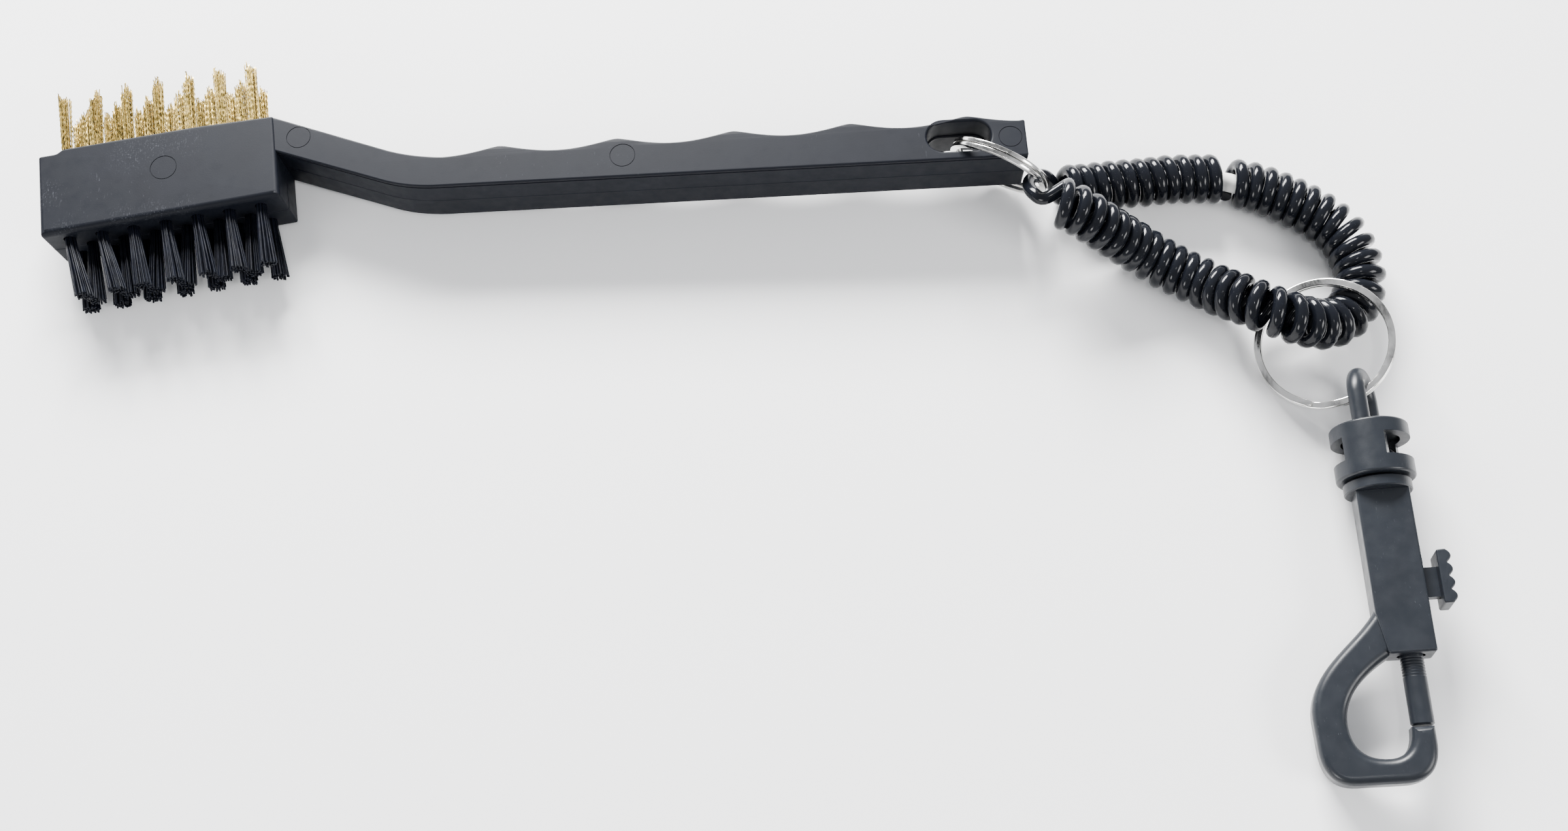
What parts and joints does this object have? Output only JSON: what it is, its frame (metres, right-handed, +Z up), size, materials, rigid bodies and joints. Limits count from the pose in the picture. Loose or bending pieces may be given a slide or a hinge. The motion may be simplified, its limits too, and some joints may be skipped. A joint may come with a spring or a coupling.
{
  "type": "club groove brush",
  "caption": "Slim moulded brush with brass bristles on one side and nylon on the other, a split ring, a loop of coiled cord and a swivel snap hook.",
  "frame": {"origin": "centre of the box round everything but the cord, on the surface that the brush lies on", "axes": "+X along the handle, from the head to the ring; +Y away from the nylon bristles, on the brass side; +Z up out of the surface"},
  "size_m": [0.256, 0.149, 0.0203],
  "materials": {
    "moulded_plastic": "satin blue-black moulding with fine scuffs",
    "brass_bristle": "bright crimped wire",
    "nylon_bristle": "satin blue-black filament",
    "plated_ring": "polished nickel plate",
    "cord_plastic": "glossy black flexible plastic",
    "joiner_plastic": "milky white plastic",
    "hook_plastic": "satin dark grey moulding",
    "spring_steel": "drawn wire"
  },
  "bodies": {
    "brush": {"handle_and_head": "moulded_plastic", "brass_tuft_01": "brass_bristle", "brass_tuft_02": "brass_bristle", "brass_tuft_03": "brass_bristle", "brass_tuft_04": "brass_bristle", "brass_tuft_05": "brass_bristle", "brass_tuft_06": "brass_bristle", "brass_tuft_07": "brass_bristle", "brass_tuft_08": "brass_bristle", "brass_tuft_09": "brass_bristle", "brass_tuft_10": "brass_bristle", "brass_tuft_11": "brass_bristle", "brass_tuft_12": "brass_bristle", "brass_tuft_13": "brass_bristle", "brass_tuft_14": "brass_bristle", "brass_tuft_15": "brass_bristle", "brass_tuft_16": "brass_bristle", "brass_tuft_17": "brass_bristle", "brass_tuft_18": "brass_bristle", "brass_tuft_19": "brass_bristle", "brass_tuft_20": "brass_bristle", "nylon_tuft_01": "nylon_bristle", "nylon_tuft_02": "nylon_bristle", "nylon_tuft_03": "nylon_bristle", "nylon_tuft_04": "nylon_bristle", "nylon_tuft_05": "nylon_bristle", "nylon_tuft_06": "nylon_bristle", "nylon_tuft_07": "nylon_bristle", "nylon_tuft_08": "nylon_bristle", "nylon_tuft_09": "nylon_bristle", "nylon_tuft_10": "nylon_bristle", "nylon_tuft_11": "nylon_bristle", "nylon_tuft_12": "nylon_bristle", "nylon_tuft_13": "nylon_bristle", "nylon_tuft_14": "nylon_bristle", "nylon_tuft_15": "nylon_bristle", "nylon_tuft_16": "nylon_bristle", "nylon_tuft_17": "nylon_bristle", "nylon_tuft_18": "nylon_bristle", "nylon_tuft_19": "nylon_bristle", "nylon_tuft_20": "nylon_bristle"},
    "handle_ring": {"handle_ring": "plated_ring"},
    "lanyard": {"coil_long": "cord_plastic", "coil_short": "cord_plastic", "cord_hooked_turn": "cord_plastic", "coil_joiner": "joiner_plastic"},
    "hook_ring": {"hook_ring": "plated_ring"},
    "swivel": {"swivel_eye": "hook_plastic"},
    "hook": {"hook_body": "hook_plastic", "bolt_spring": "spring_steel"},
    "bolt": {"gate_bolt": "hook_plastic"}
  },
  "joints": [
    {"name": "handle_ring_swing", "type": "hinge", "parent": "brush", "child": "handle_ring", "pos_m": [0.04823, 0.0492, 0.0106], "axis": [0, 0, 1], "range_deg": [-22, 30]},
    {"name": "lanyard_swing", "type": "hinge", "parent": "handle_ring", "child": "lanyard", "pos_m": [0.06453, 0.04, 0.0095], "axis": [0, 0, 1], "range_deg": [-35, 35]},
    {"name": "hook_ring_swing", "type": "hinge", "parent": "lanyard", "child": "hook_ring", "pos_m": [0.11223, 0.01245, 0.00705], "axis": [0.9509, 0.0962, -0.2943], "range_deg": [-22, 22]},
    {"name": "eye_swing", "type": "hinge", "parent": "hook_ring", "child": "swivel", "pos_m": [0.11753, -0.00488, 0.00782], "axis": [0.8447, 0.3379, 0.4151], "range_deg": [-38, 75]},
    {"name": "hook_swivel", "type": "hinge", "parent": "swivel", "child": "hook", "pos_m": [0.11818, -0.0224, 0.007], "axis": [0.0359, 0.9993, -0.013], "continuous": true},
    {"name": "bolt_slide", "type": "slide", "parent": "hook", "child": "bolt", "axis": [0.0359, 0.9993, -0.013], "range_m": [0, 0.0094], "stiffness_N_per_m": 220, "springref_m": -0.005, "deforming": ["bolt_spring"]}
  ]
}
